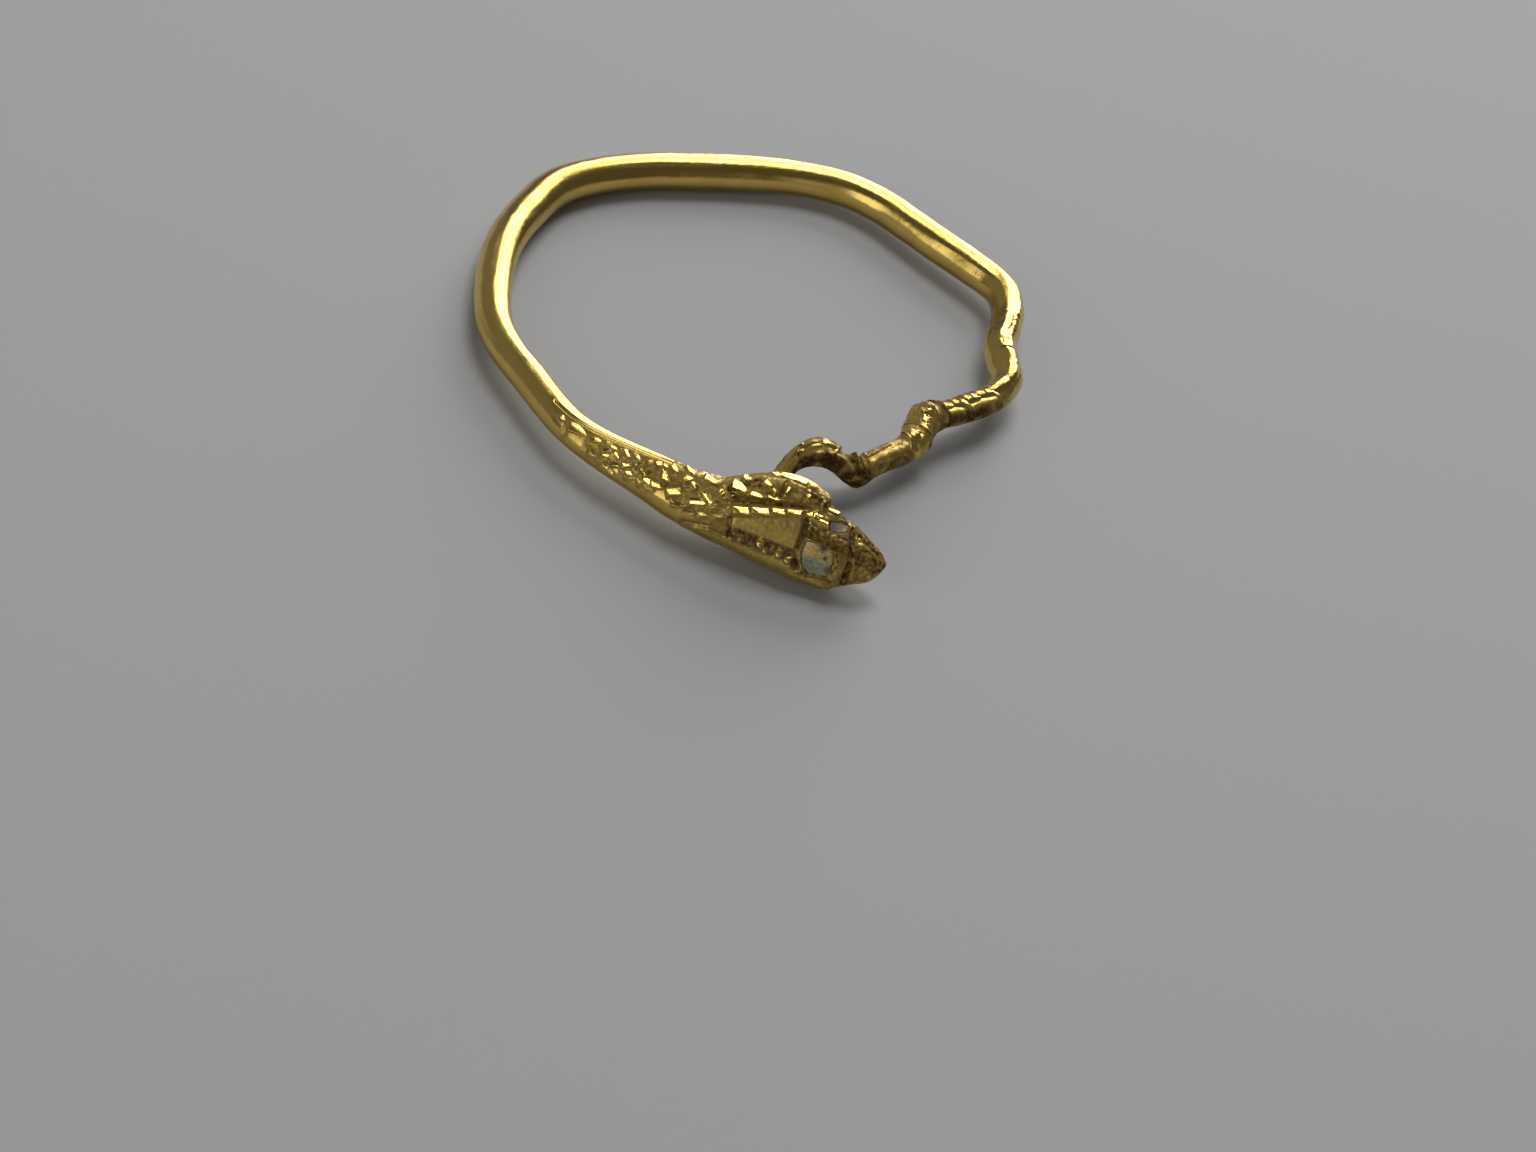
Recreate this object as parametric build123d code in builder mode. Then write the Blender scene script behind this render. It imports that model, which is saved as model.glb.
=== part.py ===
from build123d import *
from math import atan2, cos, pi, radians, sin
import os

os.makedirs("parts", exist_ok=True)

# A finger ring in the form of a snake, one length of gold that lies on its side. The hoop's own middle
# plane is worked out first, with the head at the front, and then laid down on its three touching places.

# Driving dimensions in millimetres and degrees
finger_bore = 17.0
wire_thickness = 1.2
tail_thickness = 0.85
head_length = 5.45
head_width = 3.1
head_crown = 0.85
head_belly = 0.75
relief_depth = 0.12
chase_depth = 0.08
head_roll = 38.0
neck_roll = 44.0
head_turn = 3.4
neck_start = 236.0
neck_growth = 1.5
rest_azimuth = 128.0
lower_eye_length = 1.14
lower_eye_width = 0.90
upper_eye_length = 0.62
upper_eye_width = 0.46
socket_depth = 0.30
inlay_clearance = 0.03
inlay_sink = 0.05
inlay_rounding = 0.06

hoop_radius = (finger_bore + wire_thickness) / 2
half_head = head_width / 2

# The tail from its tip to the hoop: azimuth in degrees anticlockwise from the right, distance from the
# axis as a share of the hoop's radius, rise as a share of the wire, thickness as a share of the tail's.
tail_bends = [
    # azimuth, radius, rise, thickness
    (-82.0, 0.852, -0.36, 0.45),
    (-80.8, 0.835, -0.35, 0.70),
    (-79.0, 0.800, -0.33, 0.88),
    (-77.2, 0.765, -0.22, 0.92),
    (-75.3, 0.735, -0.02, 0.94),
    (-73.0, 0.716, 0.18, 0.95),
    (-69.2, 0.707, 0.29, 0.97),
    (-65.3, 0.710, 0.25, 0.97),
    (-62.1, 0.716, 0.08, 1.00),
    (-59.0, 0.730, -0.12, 1.05),
    (-55.9, 0.737, -0.25, 1.10),
    (-51.0, 0.721, -0.17, 0.97),
    (-44.6, 0.709, -0.13, 0.97),
    (-37.8, 0.704, -0.12, 1.05),
    (-32.0, 0.690, -0.10, 1.28),
    (-28.5, 0.672, 0.00, 1.24),
    (-24.1, 0.661, 0.13, 1.34),
    (-20.0, 0.678, 0.08, 1.05),
    (-14.9, 0.706, 0.00, 1.00),
    (-9.1, 0.750, -0.01, 1.05),
    (-3.3, 0.802, -0.01, 1.07),
    (1.6, 0.843, 0.00, 1.12),
    (7.5, 0.870, 0.00, 1.20),
    (12.9, 0.865, 0.00, 1.28),
    (19.7, 0.866, 0.04, 1.30),
    (25.9, 0.910, 0.04, 1.28),
]
# The hoop and the neck, with the thickness as a share of the wire.
hoop_bends = [
    # azimuth, radius, rise, thickness
    (33.0, 0.976, 0.0, 0.92),
    (40.0, 1.017, 0.0, 0.98),
    (49.0, 0.996, 0.0, 1.01),
    (58.0, 0.982, 0.0, 1.02),
    (66.0, 0.993, 0.0, 1.02),
    (74.0, 1.020, 0.0, 1.02),
    (83.0, 1.034, 0.0, 1.02),
    (94.0, 1.010, 0.0, 1.01),
    (105.0, 0.977, 0.0, 1.05),
    (117.0, 0.967, 0.0, 1.05),
    (128.0, 0.985, 0.0, 1.04),
    (140.0, 1.013, 0.0, 1.05),
    (150.0, 1.030, 0.0, 1.08),
    (162.0, 1.010, 0.0, 1.07),
    (177.0, 0.999, 0.0, 1.04),
    (190.0, 0.992, 0.0, 1.01),
    (205.0, 1.001, 0.0, 0.95),
    (221.0, 0.979, 0.0, 0.93),
    (229.0, 0.989, 0.0, 0.92),
    (238.0, 1.005, 0.0, 0.93),
    (250.0, 1.000, 0.0, 0.93),
    (256.0, 1.003, 0.0, 0.93),
    (262.0, 1.019, 0.0, 0.93),
    (269.0, 1.031, 0.0, 0.93),
]
# Lines that run along the top of the head, from the side by the tail to the outer side, at several places
# from the neck, 0, to the snout, 1. Each is a share of half the head's width.
head_lines = [
    # along, edge, side, crest, foot, groove, ridge, panel, brink, bead, cheek, jaw, flank, edge
    (0.00, 0.59, 0.53, 0.45, 0.36, 0.26, 0.14, -0.03, -0.22, -0.35, -0.46, -0.55, -0.63, -0.68),
    (0.10, 0.76, 0.67, 0.55, 0.38, 0.20, 0.05, -0.12, -0.27, -0.39, -0.50, -0.59, -0.67, -0.71),
    (0.20, 0.92, 0.82, 0.66, 0.44, 0.26, 0.13, -0.07, -0.27, -0.40, -0.52, -0.63, -0.72, -0.76),
    (0.30, 1.04, 0.93, 0.77, 0.54, 0.37, 0.25, -0.02, -0.27, -0.41, -0.55, -0.68, -0.77, -0.81),
    (0.40, 1.07, 0.97, 0.82, 0.61, 0.45, 0.33, 0.03, -0.27, -0.42, -0.56, -0.70, -0.80, -0.85),
    (0.49, 1.03, 0.94, 0.82, 0.66, 0.52, 0.41, 0.07, -0.27, -0.42, -0.55, -0.71, -0.83, -0.88),
    (0.52, 0.99, 0.90, 0.79, 0.65, 0.50, 0.30, 0.13, -0.03, -0.30, -0.56, -0.72, -0.84, -0.89),
    (0.59, 0.88, 0.81, 0.72, 0.61, 0.47, 0.24, 0.11, -0.03, -0.32, -0.58, -0.73, -0.84, -0.89),
    (0.62, 0.72, 0.66, 0.58, 0.49, 0.38, 0.23, 0.10, -0.03, -0.32, -0.58, -0.73, -0.84, -0.88),
    (0.70, 0.58, 0.53, 0.46, 0.38, 0.28, 0.18, 0.07, -0.04, -0.32, -0.56, -0.71, -0.82, -0.87),
    (0.78, 0.49, 0.45, 0.38, 0.30, 0.20, 0.11, 0.01, -0.09, -0.30, -0.47, -0.61, -0.70, -0.75),
    (0.84, 0.38, 0.34, 0.28, 0.21, 0.13, 0.04, -0.06, -0.15, -0.30, -0.43, -0.53, -0.60, -0.64),
    (0.92, 0.23, 0.20, 0.15, 0.09, 0.03, -0.04, -0.10, -0.17, -0.26, -0.35, -0.42, -0.47, -0.50),
    (0.97, 0.11, 0.08, 0.05, 0.02, -0.02, -0.06, -0.10, -0.14, -0.19, -0.24, -0.28, -0.31, -0.33),
    (1.00, 0.01, 0.00, -0.01, -0.03, -0.04, -0.06, -0.07, -0.09, -0.11, -0.12, -0.13, -0.14, -0.15),
]
# How far the same lines stand above or below the smooth head, as shares of the relief's depth.
head_relief = [
    # along, edge, side, crest, foot, groove, ridge, panel, brink, bead, cheek, jaw, flank, edge
    (0.00, 0.0, 0.0, 0.2, 0.0, 0.0, 0.0, 0.0, 0.0, 0.0, 0.0, 0.0, 0.0, 0.0),
    (0.10, 0.0, 0.2, 0.5, 0.2, -0.6, -0.2, -0.2, -0.4, -0.9, 0.0, 0.2, 0.0, 0.0),
    (0.13, 0.0, 0.2, 0.6, 0.3, -0.8, 0.7, 0.6, 0.3, -1.2, 0.1, 0.3, 0.0, 0.0),
    (0.30, 0.0, 0.3, 0.8, 0.4, -0.7, 0.9, 0.8, 0.5, -1.3, 0.2, 0.4, 0.1, 0.0),
    (0.49, 0.0, 0.3, 0.8, 0.3, -0.8, 1.0, 0.9, 0.6, -1.2, 0.0, 0.3, 0.0, 0.0),
    (0.52, 0.0, 0.3, 0.8, 0.2, -0.5, -0.4, -0.7, -0.7, 0.0, 0.0, 0.2, 0.0, 0.0),
    (0.59, 0.0, 0.2, 0.6, 0.2, -0.2, 0.4, 0.4, -0.5, 0.2, 0.2, 0.2, 0.0, 0.0),
    (0.62, 0.0, 0.0, 0.5, 0.4, 0.2, 0.4, 0.5, -0.5, 0.2, 0.2, 0.2, 0.0, 0.0),
    (0.75, 0.0, 0.0, 0.3, 0.4, 0.2, 0.5, 0.5, -0.4, 0.4, 0.4, 0.3, 0.0, 0.0),
    (0.80, 0.0, -0.2, -0.5, -0.5, -0.5, -0.4, -0.4, -0.5, -0.6, -0.8, -0.8, -0.5, 0.0),
    (0.84, 0.0, 0.0, 0.3, 0.3, 0.3, 0.3, 0.4, 0.3, 0.3, 0.3, 0.2, 0.0, 0.0),
    (1.00, 0.0, 0.0, 0.0, 0.0, 0.0, 0.0, 0.0, 0.0, 0.0, 0.0, 0.0, 0.0, 0.0),
]
# Height of the crown above the head's middle and depth of the belly below it, as shares of the largest.
head_depths = [
    # along, crown, belly
    (0.00, 0.86, 0.92),
    (0.20, 0.97, 1.00),
    (0.40, 1.00, 1.00),
    (0.60, 0.95, 0.95),
    (0.78, 0.80, 0.78),
    (0.88, 0.62, 0.58),
    (0.96, 0.38, 0.34),
    (1.00, 0.16, 0.12),
]
# Cuts across the ruff behind the eyes: place and half width along the head, and depth of relief.
ruff_notches = [(0.115, 0.016, 0.8), (0.335, 0.016, 1.2), (0.455, 0.014, 1.0)]
ruff_lines = (1, 2, 3)
# Rows of chased marks across the neck. Each is cut on one of two sets of lines, by turns.
neck_rows = 8
row_lines = ((2, 4, 6, 8), (3, 5, 7, 9))
# The eye sockets: place along the head, place across as a share of half its width, lean in degrees.
eyes = [
    # name, along, across, lean, length, width
    ("eye_inlay_lower", 0.62, -0.36, -15.0, lower_eye_length, lower_eye_width),
    ("eye_inlay_upper", 0.675, 0.34, 20.0, upper_eye_length, upper_eye_width),
]

top_lines = len(head_lines[0][1:])
knots = 2 * (top_lines - 1)
crown_fullness = 2.4
belly_fullness = 0.8
tail_sections = 50
hoop_sections = 32
row_sections = 3
slant_step = 0.05


def through(rows, at):
    """A table's columns at one place, on smooth curves through its rows."""
    places = [row[0] for row in rows]
    i = sum(place <= at for place in places[1:-1])
    span = places[i + 1] - places[i]
    share = min(max((at - places[i]) / span, 0.0), 1.0)
    before, after = max(i - 1, 0), min(i + 2, len(rows) - 1)
    values = []
    for column in range(1, len(rows[0])):
        start, end = rows[i][column], rows[i + 1][column]
        leave = (end - rows[before][column]) / (places[i + 1] - places[before]) * span
        arrive = (rows[after][column] - start) / (places[after] - places[i]) * span
        bend = 3 * (end - start) - 2 * leave - arrive
        twist = 2 * (start - end) + leave + arrive
        values.append(start + share * leave + share**2 * bend + share**3 * twist)
    return values


def between(rows, at):
    """A table's columns at one place, on straight lines between its rows."""
    places = [row[0] for row in rows]
    i = sum(place <= at for place in places[1:-1])
    share = min(max((at - places[i]) / (places[i + 1] - places[i]), 0.0), 1.0)
    return [first + share * (last - first) for first, last in zip(rows[i][1:], rows[i + 1][1:])]


bends = []
for rows, thickness in ((tail_bends, tail_thickness), (hoop_bends, wire_thickness)):
    for azimuth, radius, rise, share in rows:
        bends.append((azimuth, radius * hoop_radius, rise * wire_thickness, share * thickness / 2))
tail_tip = bends[0][0]
hoop_start = hoop_bends[0][0]
head_root = bends[-1][0]
root_radius, root_rise = bends[-1][1:3]
head_start = Vector(root_radius * cos(radians(head_root)), root_radius * sin(radians(head_root)), root_rise)
head_heading = head_root + 90 - head_turn


def ahead(heading):
    """The level direction of a heading."""
    return Vector(cos(radians(heading)), sin(radians(heading)), 0)


def outward(heading):
    """The level direction to the right of a heading, away from the ring's axis."""
    return Vector(sin(radians(heading)), -cos(radians(heading)), 0)


def round_outline(half):
    """Knots round a plain stretch of wire, across and above its middle."""
    return [(half * cos(2 * pi * i / knots), half * sin(2 * pi * i / knots)) for i in range(knots)]


def dome(across, half, crown):
    """Height of the smooth head at one place across it."""
    return crown * max(1 - abs(across / half) ** crown_fullness, 0) ** (1 / crown_fullness)


def head_outline(along):
    """Knots round the head, across and above its middle: the chased lines, then the plain belly."""
    lines = [line * half_head for line in between(head_lines, along)]
    reliefs = [relief * relief_depth for relief in between(head_relief, along)]
    crown, belly = through(head_depths, along)
    middle, half = (lines[0] + lines[-1]) / 2, (lines[0] - lines[-1]) / 2
    notch = sum(deep * max(1 - abs(along - place) / wide, 0) for place, wide, deep in ruff_notches)
    points = []
    for i, (line, relief) in enumerate(zip(lines, reliefs)):
        cut = notch * relief_depth if i in ruff_lines else 0.0
        points.append((line, dome(line - middle, half, crown * head_crown) + relief - cut))
    for i in range(1, top_lines - 1):
        angle = pi * i / (top_lines - 1)
        points.append((middle - half * cos(angle), -belly * head_belly * sin(angle) ** belly_fullness))
    return points


def neck_outline(half, share, cut_lines):
    """Knots round the neck, which swells from the round wire to the back of the head."""
    swell = share**neck_growth
    points = []
    for i, (plain, full) in enumerate(zip(round_outline(half), head_outline(0.0))):
        across, above = (a + swell * (b - a) for a, b in zip(plain, full))
        points.append((across, above - chase_depth if i in cut_lines else above))
    return points


def rolled(points, roll, slant):
    """Outward and up of each knot, rolled round the wire and stretched where the wire runs aslant."""
    turn, level = sin(radians(roll)), cos(radians(roll))
    return [((b * level - a * turn) / cos(slant), a * level + b * turn) for a, b in points]


def wire_section(azimuth, outline, roll):
    """Middle, heading and knots where the wire crosses the half plane at one azimuth."""
    radius, rise, half = through(bends, azimuth)
    gain = through(bends, azimuth + slant_step)[0] - through(bends, azimuth - slant_step)[0]
    slant = atan2(gain, 2 * radians(slant_step) * radius)
    centre = Vector(radius * cos(radians(azimuth)), radius * sin(radians(azimuth)), rise)
    return centre, azimuth + 90, rolled(outline(half), roll, slant)


def head_place(along):
    """A place on the head's straight middle line."""
    return head_start + ahead(head_heading) * along * head_length


def eye_plane(along, across, lean):
    """The plane that touches the smooth head at an eye, with its normal leaning to the eye's side."""
    lines = between(head_lines, along)
    middle, half = (lines[0] + lines[-1]) / 2, (lines[0] - lines[-1]) / 2
    lift = dome(across - middle, half, through(head_depths, along)[0] * head_crown)
    turn, level = sin(radians(head_roll)), cos(radians(head_roll))
    over = outward(head_heading) * level + Vector(0, 0, turn)
    side = Vector(0, 0, level) - outward(head_heading) * turn
    origin = head_place(along) + side * (across * half_head) + over * lift
    normal = over * cos(radians(lean)) + side * sin(radians(lean))
    return Plane(origin=origin, x_dir=ahead(head_heading), z_dir=normal)


# Every section in order from the tail's tip to the snout: its middle, its heading and its knots
sections = []
for i in range(tail_sections):
    azimuth = tail_tip + (hoop_start - tail_tip) * i / tail_sections
    sections.append(wire_section(azimuth, round_outline, neck_roll))
for i in range(hoop_sections):
    azimuth = hoop_start + (neck_start - hoop_start) * i / hoop_sections
    sections.append(wire_section(azimuth, round_outline, neck_roll))
for i in range(row_sections * neck_rows):
    share = i / (row_sections * neck_rows)
    azimuth = neck_start + (head_root - neck_start) * share
    cut_lines = row_lines[i // row_sections % 2] if i % row_sections == 1 else ()
    roll = neck_roll + (head_roll - neck_roll) * share
    sections.append(wire_section(azimuth, lambda half: neck_outline(half, share, cut_lines), roll))
head_stops = {row[0] for row in head_lines + head_relief + head_depths}
head_stops |= {place + side * wide for place, wide, deep in ruff_notches for side in (-1, 0, 1)}
for along in sorted(head_stops):
    sections.append((head_place(along), head_heading, rolled(head_outline(along), head_roll, 0)))

# The floor touches the lowest knot of the head and the hoop's underside across from it. The part stands
# on that floor, centred over it.
corners = []
for middle, heading, points in sections:
    corners += [middle + outward(heading) * out + Vector(0, 0, up) for out, up in points]
chin = min(corners, key=lambda corner: corner.Z)
rest_radius, rest_rise, rest_half = through(bends, rest_azimuth)
touch = ahead(rest_azimuth) * rest_radius + Vector(0, 0, rest_rise - rest_half)
floor = Plane(origin=(0, 0, 0), x_dir=(1, 0, 0), z_dir=(chin - touch).cross(outward(rest_azimuth)))
laid = [floor.to_local_coords(corner) for corner in corners]
west, east = min(corner.X for corner in laid), max(corner.X for corner in laid)
south, north = min(corner.Y for corner in laid), max(corner.Y for corner in laid)
base = Vector((west + east) / 2, (south + north) / 2, min(corner.Z for corner in laid))
stand = Location(-base) * floor.location.inverse()


def stood(plane):
    """A plane of the ring, moved to where the part stands."""
    return Plane(stand * plane.location)


# The gold, in one piece
with BuildPart() as snake_body:
    for middle, heading, points in sections:
        with BuildSketch(stood(Plane(origin=middle, x_dir=outward(heading), z_dir=-ahead(heading)))):
            with BuildLine():
                Polyline(*points, close=True)
            make_face()
    loft(ruled=True)
    for name, along, across, lean, length, width in eyes:
        with BuildSketch(stood(eye_plane(along, across, lean)).offset(-socket_depth)):
            Ellipse(length / 2, width / 2)
        extrude(amount=2 * socket_depth, mode=Mode.SUBTRACT)
snake_body.part.label = "snake_body"
export_step(snake_body.part, "parts/snake_body.step")

# The two inlays, each set in its socket with the same clearance all round and its top a little sunk
for name, along, across, lean, length, width in eyes:
    socket_floor = stood(eye_plane(along, across, lean)).offset(-socket_depth)
    with BuildPart() as eye_inlay:
        with BuildSketch(socket_floor.offset(inlay_clearance)):
            Ellipse(length / 2 - inlay_clearance, width / 2 - inlay_clearance)
        extrude(amount=socket_depth - inlay_clearance - inlay_sink)
        outer_face = eye_inlay.faces().sort_by(Axis(socket_floor.origin, socket_floor.z_dir))[-1]
        fillet(outer_face.edges(), inlay_rounding)
    eye_inlay.part.label = name
    export_step(eye_inlay.part, f"parts/{name}.step")
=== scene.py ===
import math
import random

import bpy
import numpy as np
from mathutils import Matrix, Vector, noise


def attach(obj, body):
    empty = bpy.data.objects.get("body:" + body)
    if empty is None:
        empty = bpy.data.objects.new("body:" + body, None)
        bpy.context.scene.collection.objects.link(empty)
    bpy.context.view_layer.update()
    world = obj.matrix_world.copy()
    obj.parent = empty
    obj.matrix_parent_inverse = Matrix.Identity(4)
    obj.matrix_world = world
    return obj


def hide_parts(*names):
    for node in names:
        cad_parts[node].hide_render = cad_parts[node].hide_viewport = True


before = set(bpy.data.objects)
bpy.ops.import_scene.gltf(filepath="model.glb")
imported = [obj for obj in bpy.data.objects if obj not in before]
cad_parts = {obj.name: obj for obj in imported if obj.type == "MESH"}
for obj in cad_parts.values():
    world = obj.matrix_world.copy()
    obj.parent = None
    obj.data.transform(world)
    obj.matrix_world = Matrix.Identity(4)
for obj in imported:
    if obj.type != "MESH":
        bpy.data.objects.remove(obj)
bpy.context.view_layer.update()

# The camera stands in front of the ring at a hand's breadth and looks down on it. It is turned a little
# about its own view, as the photograph was taken.
millimetre = 0.001
camera_aim = Vector((2.62, -10.05, 0.0)) * millimetre
camera_distance = 103.76 * millimetre
camera_azimuth = math.radians(-92.35)
camera_height = math.radians(40.83)
camera_turn = math.radians(18.05)
lens_length = 80.625
film_width = 36.0


def pointing(azimuth, height):
    """The direction of a compass angle and a height above the floor."""
    level = math.cos(height)
    return Vector((level * math.cos(azimuth), level * math.sin(azimuth), math.sin(height)))


camera = bpy.data.objects.new("camera", bpy.data.cameras.new("camera"))
camera.data.lens = lens_length
camera.data.sensor_width = film_width
camera.data.clip_start = millimetre
backwards = pointing(camera_azimuth, camera_height)
camera.location = camera_aim + backwards * camera_distance
camera.rotation_euler = (
    backwards.to_track_quat("Z", "Y").to_matrix() @ Matrix.Rotation(camera_turn, 3, "Z")
).to_euler()
bpy.context.collection.objects.link(camera)
bpy.context.scene.camera = camera

# The floor is a plain grey sheet. The light comes from a soft window behind the ring and from a skylight
# high above it, with a weaker lamp in front on the left. The walls in front and on the left are dim.
floor_reach = 600 * millimetre
floor_grey = (0.44, 0.445, 0.455, 1.0)
floor_roughness = 0.9
room_colour = (1.0, 0.98, 0.95, 1.0)
room_light = 0.08
lights = [
    # name, azimuth, height, distance, width, tallness, and how bright its face looks
    ("window", 79.0, 22.0, 0.40, 0.28, 0.32, 4.2),
    ("skylight", 90.0, 68.0, 0.40, 0.20, 0.18, 5.2),
    ("lamp", 228.0, 21.0, 0.40, 0.26, 0.30, 1.3),
    ("front_wall", 278.0, 18.0, 0.50, 0.48, 0.32, 0.24),
    ("left_wall", 156.0, 20.0, 0.50, 0.80, 0.60, 0.10),
]
for name, azimuth, height, distance, width, tallness, glow in lights:
    light = bpy.data.lights.new(name, "AREA")
    light.shape = "RECTANGLE"
    light.size = width
    light.size_y = tallness
    light.energy = glow * math.pi * width * tallness
    lamp = bpy.data.objects.new(name, light)
    way = pointing(math.radians(azimuth), math.radians(height))
    lamp.location = way * distance
    lamp.rotation_euler = way.to_track_quat("Z", "Y").to_euler()
    bpy.context.collection.objects.link(lamp)

room = bpy.data.worlds.new("room")
room.use_nodes = True
room.node_tree.nodes["Background"].inputs["Color"].default_value = room_colour
room.node_tree.nodes["Background"].inputs["Strength"].default_value = room_light
bpy.context.scene.world = room
bpy.context.scene.view_settings.view_transform = "Standard"

sheet = bpy.data.meshes.new("floor")
sheet.from_pydata(
    [(x * floor_reach, y * floor_reach, 0.0) for x, y in ((-1, -1), (1, -1), (1, 1), (-1, 1))],
    [],
    [(0, 1, 2, 3)],
)
floor = bpy.data.objects.new("floor", sheet)
bpy.context.collection.objects.link(floor)
paper = bpy.data.materials.new("pale_paper")
paper.use_nodes = True
paper.node_tree.nodes["Principled BSDF"].inputs["Base Color"].default_value = floor_grey
paper.node_tree.nodes["Principled BSDF"].inputs["Roughness"].default_value = floor_roughness
sheet.materials.append(paper)

# The hoop is one length of gold wire, hammered round and bent by hand, so that it runs in slow waves and
# keeps long shallow flats. It is bare and polished by wear. The tail is the same wire drawn thinner.
finger_bore = 17.0
wire_thickness = 1.2
tail_thickness = 0.85
hoop_radius = (finger_bore + wire_thickness) / 2
tail_bends = [
    # azimuth, radius, rise, thickness
    (-82.0, 0.852, -0.36, 0.45),
    (-80.8, 0.835, -0.35, 0.70),
    (-79.0, 0.800, -0.33, 0.88),
    (-77.2, 0.765, -0.22, 0.92),
    (-75.3, 0.735, -0.02, 0.94),
    (-73.0, 0.716, 0.18, 0.95),
    (-69.2, 0.707, 0.29, 0.97),
    (-65.3, 0.710, 0.25, 0.97),
    (-62.1, 0.716, 0.08, 1.00),
    (-59.0, 0.730, -0.12, 1.05),
    (-55.9, 0.737, -0.25, 1.10),
    (-51.0, 0.721, -0.17, 0.97),
    (-44.6, 0.709, -0.13, 0.97),
    (-37.8, 0.704, -0.12, 1.05),
    (-32.0, 0.690, -0.10, 1.28),
    (-28.5, 0.672, 0.00, 1.24),
    (-24.1, 0.661, 0.13, 1.34),
    (-20.0, 0.678, 0.08, 1.05),
    (-14.9, 0.706, 0.00, 1.00),
    (-9.1, 0.750, -0.01, 1.05),
    (-3.3, 0.802, -0.01, 1.07),
    (1.6, 0.843, 0.00, 1.12),
    (7.5, 0.870, 0.00, 1.20),
    (12.9, 0.865, 0.00, 1.28),
    (19.7, 0.866, 0.04, 1.30),
    (25.9, 0.910, 0.04, 1.28),
]
hoop_bends = [
    # azimuth, radius, rise, thickness
    (33.0, 0.976, 0.0, 0.92),
    (40.0, 1.017, 0.0, 0.98),
    (49.0, 0.996, 0.0, 1.01),
    (58.0, 0.982, 0.0, 1.02),
    (66.0, 0.993, 0.0, 1.02),
    (74.0, 1.020, 0.0, 1.02),
    (83.0, 1.034, 0.0, 1.02),
    (94.0, 1.010, 0.0, 1.01),
    (105.0, 0.977, 0.0, 1.05),
    (117.0, 0.967, 0.0, 1.05),
    (128.0, 0.985, 0.0, 1.04),
    (140.0, 1.013, 0.0, 1.05),
    (150.0, 1.030, 0.0, 1.08),
    (162.0, 1.010, 0.0, 1.07),
    (177.0, 0.999, 0.0, 1.04),
    (190.0, 0.992, 0.0, 1.01),
    (205.0, 1.001, 0.0, 0.95),
    (221.0, 0.979, 0.0, 0.93),
    (229.0, 0.989, 0.0, 0.92),
    (238.0, 1.005, 0.0, 0.93),
    (250.0, 1.000, 0.0, 0.93),
    (256.0, 1.003, 0.0, 0.93),
    (262.0, 1.019, 0.0, 0.93),
    (269.0, 1.031, 0.0, 0.93),
]
bends = []
for rows, thickness in ((tail_bends, tail_thickness), (hoop_bends, wire_thickness)):
    for azimuth, radius, rise, share in rows:
        bends.append((azimuth, radius * hoop_radius, rise * wire_thickness, share * thickness / 2))
hoop_start = 33.0
chasing_start = 230.0
slant_step = 0.05
# Up from the floor, seen from the hoop's own plane, and the place that comes to stand over the middle.
lying_up = np.array((0.019087, -0.02443, 0.999519))
lying_north = np.cross(lying_up, (1.0, 0.0, 0.0))
lying_north /= np.linalg.norm(lying_north)
lying_axes = np.array([np.cross(lying_north, lying_up), lying_north, lying_up])
lying_middle = np.array((-0.670151, -0.425423, -0.917554))
hoop_stations = 420
hoop_points = 72
hammer_flats = 26
hammer_reach = (6.0, 14.0)
hammer_depth = (0.006, 0.02)
hammer_fade = 8.0
gold_colour = (0.74, 0.53, 0.145, 1.0)
deep_gold_colour = (0.66, 0.45, 0.11, 1.0)


def through(rows, at):
    """A table's columns at one place, on smooth curves through its rows."""
    places = [row[0] for row in rows]
    i = sum(place <= at for place in places[1:-1])
    span = places[i + 1] - places[i]
    share = min(max((at - places[i]) / span, 0.0), 1.0)
    before, after = max(i - 1, 0), min(i + 2, len(rows) - 1)
    start, end = np.array(rows[i][1:]), np.array(rows[i + 1][1:])
    leave = (end - rows[before][1:]) / (places[i + 1] - places[before]) * span
    arrive = (rows[after][1:] - start) / (places[after] - places[i]) * span
    bend = 3 * (end - start) - 2 * leave - arrive
    twist = 2 * (start - end) + leave + arrive
    return start + share * leave + share**2 * bend + share**3 * twist


def wire_middles(azimuths):
    """Where the wire's middle runs, its half thickness and its slant to the circle, at several azimuths."""
    middles, halves, slants = [], [], []
    for azimuth in azimuths:
        radius, rise, half = through(bends, azimuth)
        gain = through(bends, azimuth + slant_step)[0] - through(bends, azimuth - slant_step)[0]
        turn = math.radians(azimuth)
        middles.append((radius * math.cos(turn), radius * math.sin(turn), rise))
        halves.append(half)
        slants.append(math.atan2(gain, 2 * math.radians(slant_step) * radius))
    return np.array(middles), np.array(halves), np.array(slants)


def rings_about(middles, headings, slants, outward, upward):
    """Rings of points, each in an upright plane across the wire and stretched where the wire runs aslant."""
    headings = np.radians(headings)
    away = np.stack([np.sin(headings), -np.cos(headings), np.zeros_like(headings)], axis=1)
    out = (outward / np.cos(slants)[:, None])[:, :, None] * away[:, None, :]
    return middles[:, None, :] + out + upward[:, :, None] * np.array((0.0, 0.0, 1.0))


def flat_cut(halves, turned, depths):
    """What a flat takes off the wire at angles turned from it. Depths are shares of the half thickness."""
    least_cosine = 0.05
    kept = (1 - depths[:, None]) / np.cos(turned).clip(least_cosine)
    return halves[:, None] * (1 - kept).clip(0)


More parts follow.
